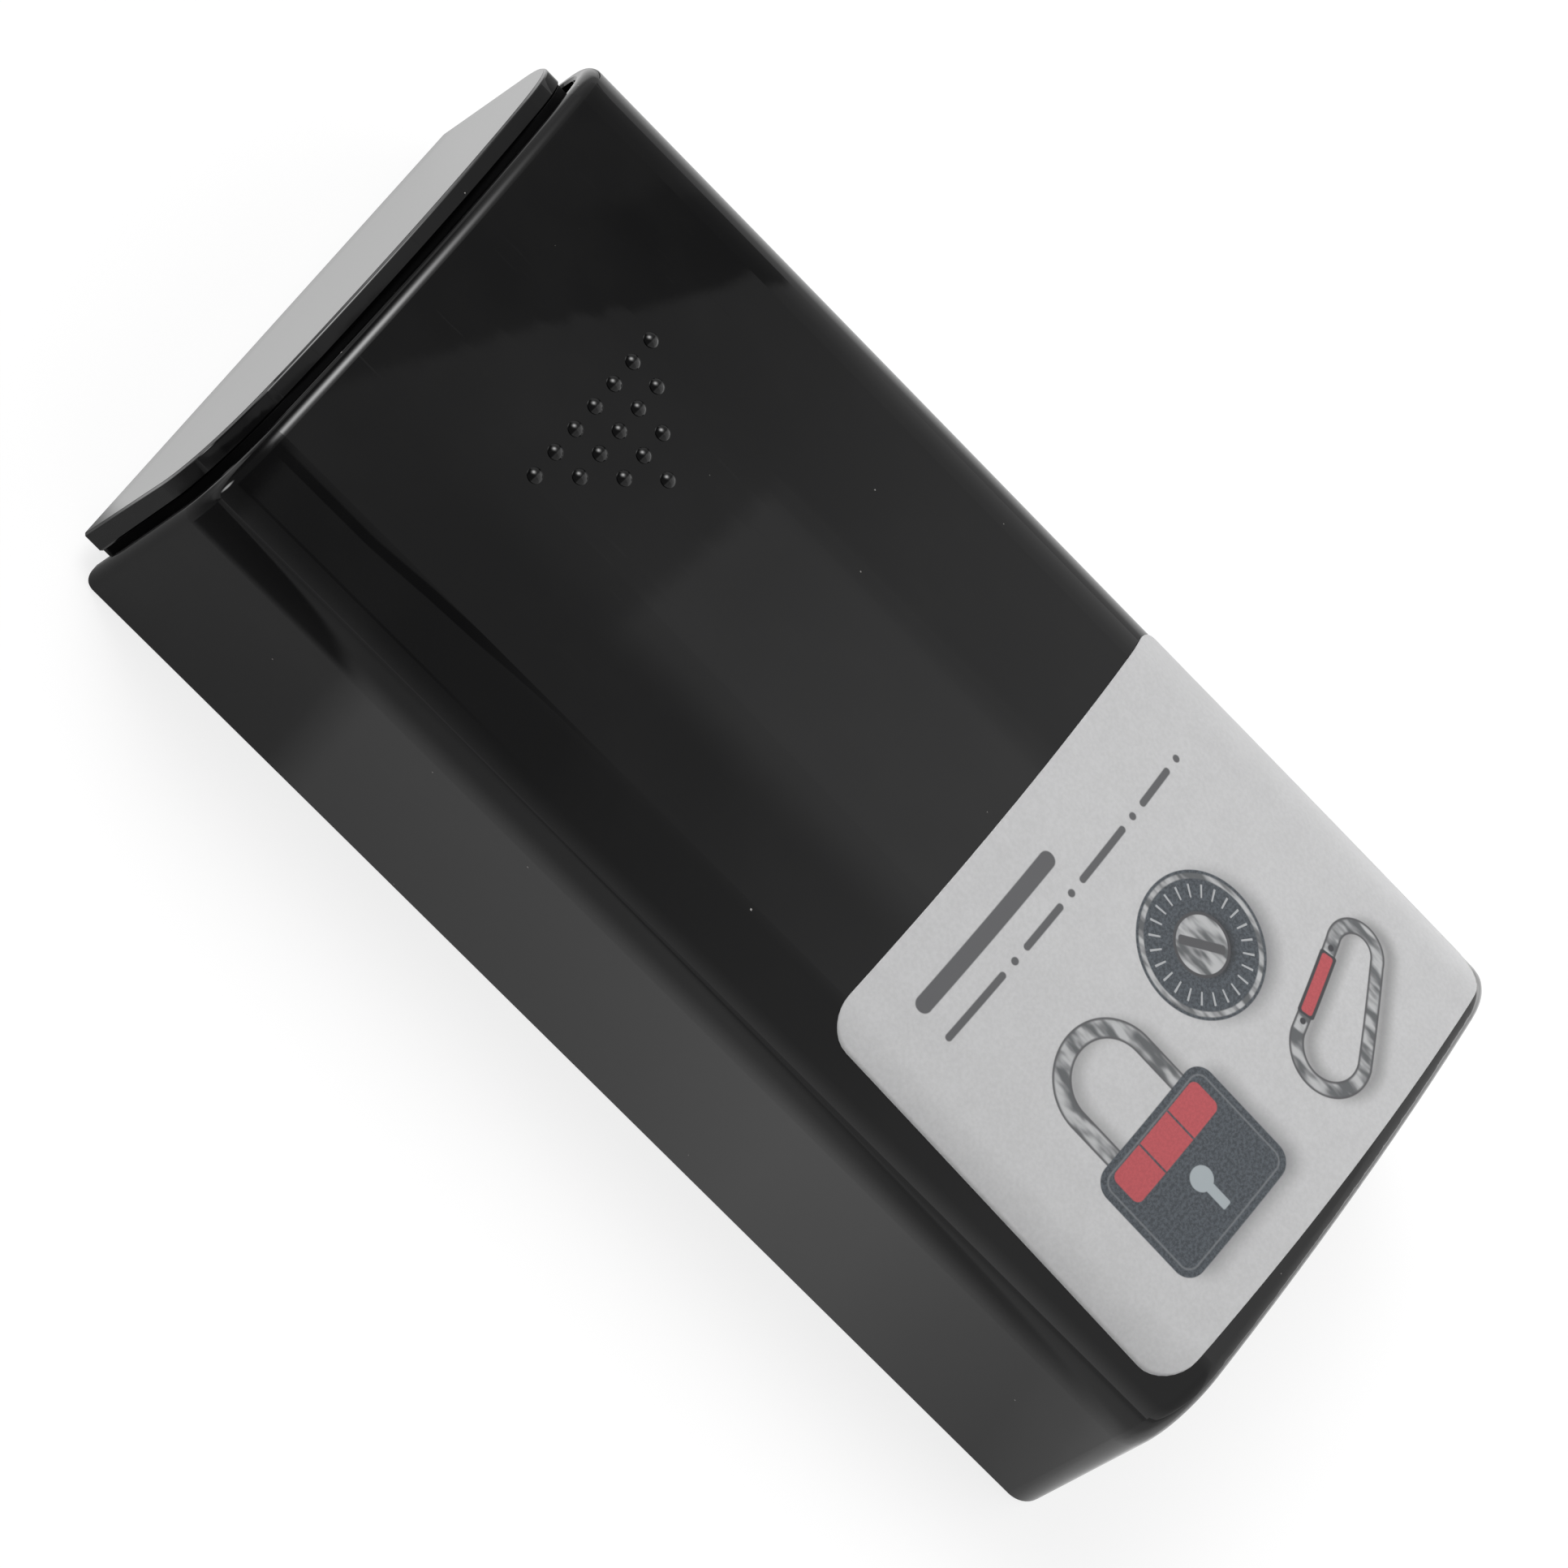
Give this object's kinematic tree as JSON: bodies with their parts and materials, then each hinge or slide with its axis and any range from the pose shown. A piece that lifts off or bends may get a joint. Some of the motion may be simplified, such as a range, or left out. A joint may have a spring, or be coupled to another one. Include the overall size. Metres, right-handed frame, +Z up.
{
  "type": "magnetic key box",
  "caption": "Glossy black two-piece box with a crowned lid that slides off a tray; magnets on the underside hold it to steel and a plain label wraps the lid.",
  "frame": {"origin": "middle of the closed box, on the steel surface that the magnets hold to", "axes": "+X along the box from the tray's end plate to the lid's closed end, the way the lid slides off; +Z up out of the crowned top; +Y across the width"},
  "size_m": [0.123, 0.06, 0.0328],
  "materials": {
    "lid_plastic": "high-gloss moulded black",
    "base_plastic": "glossy moulded black",
    "label_sheet": "satin silver-grey film",
    "ferrite": "ground dark ferrite",
    "adhesive_foam": "white foam tape"
  },
  "bodies": {
    "base": {"base_tray": "base_plastic", "magnet_1": "ferrite", "magnet_2": "ferrite", "magnet_pad_1": "adhesive_foam", "magnet_pad_2": "adhesive_foam"},
    "lid": {"lid_shell": "lid_plastic", "cover_label": "label_sheet"}
  },
  "joints": [
    {"name": "lid_slide", "type": "slide", "parent": "base", "child": "lid", "axis": [1, 0, 0], "range_m": [0, 0.121]}
  ]
}
